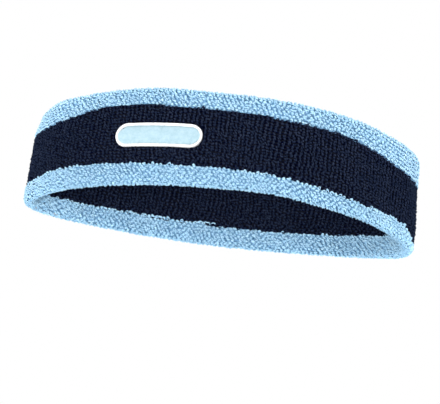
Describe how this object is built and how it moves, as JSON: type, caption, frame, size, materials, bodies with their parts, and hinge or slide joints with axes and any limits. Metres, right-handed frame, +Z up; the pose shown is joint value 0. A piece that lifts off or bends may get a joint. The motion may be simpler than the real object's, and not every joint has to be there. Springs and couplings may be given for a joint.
{
  "type": "sports headband",
  "caption": "Pull-on terry headband: a wide elastic ring of looped knit, folded at both rims, dark in the middle with a pale stripe at each rim and a small stitched mark on the front.",
  "frame": {"origin": "middle of the band's box in plan, on the surface that the lower rim rests on", "axes": "+X along the band's longest extent, to the wearer's left when the mark faces the viewer's left; +Z up along the ring's axis; the marked front faces -Y"},
  "size_m": [0.192, 0.0744, 0.05],
  "materials": {
    "terry_navy": "navy cotton terry, uncut loops, matt",
    "terry_blue": "light-blue cotton terry, uncut loops, matt",
    "ground_knit": "fine dark nylon ground knit, slight sheen",
    "rubber_thread": "fine covered rubber thread, natural colour",
    "seam_thread": "navy spun polyester thread, linked stitches",
    "emblem_fill": "pale-blue embroidery thread, silky",
    "emblem_border": "white embroidery thread, satin stitch, silky"
  },
  "bodies": {
    "root": {"outer_terry_navy": "terry_navy", "inner_terry_navy": "terry_navy", "lower_terry_blue": "terry_blue", "upper_terry_blue": "terry_blue", "closing_seam": "seam_thread", "ground_knit": "ground_knit", "emblem_fill": "emblem_fill", "emblem_border": "emblem_border", "rubber_thread_1": "rubber_thread", "rubber_thread_2": "rubber_thread", "rubber_thread_3": "rubber_thread", "rubber_thread_4": "rubber_thread", "rubber_thread_5": "rubber_thread", "rubber_thread_6": "rubber_thread", "rubber_thread_7": "rubber_thread", "rubber_thread_8": "rubber_thread"}
  },
  "joints": []
}
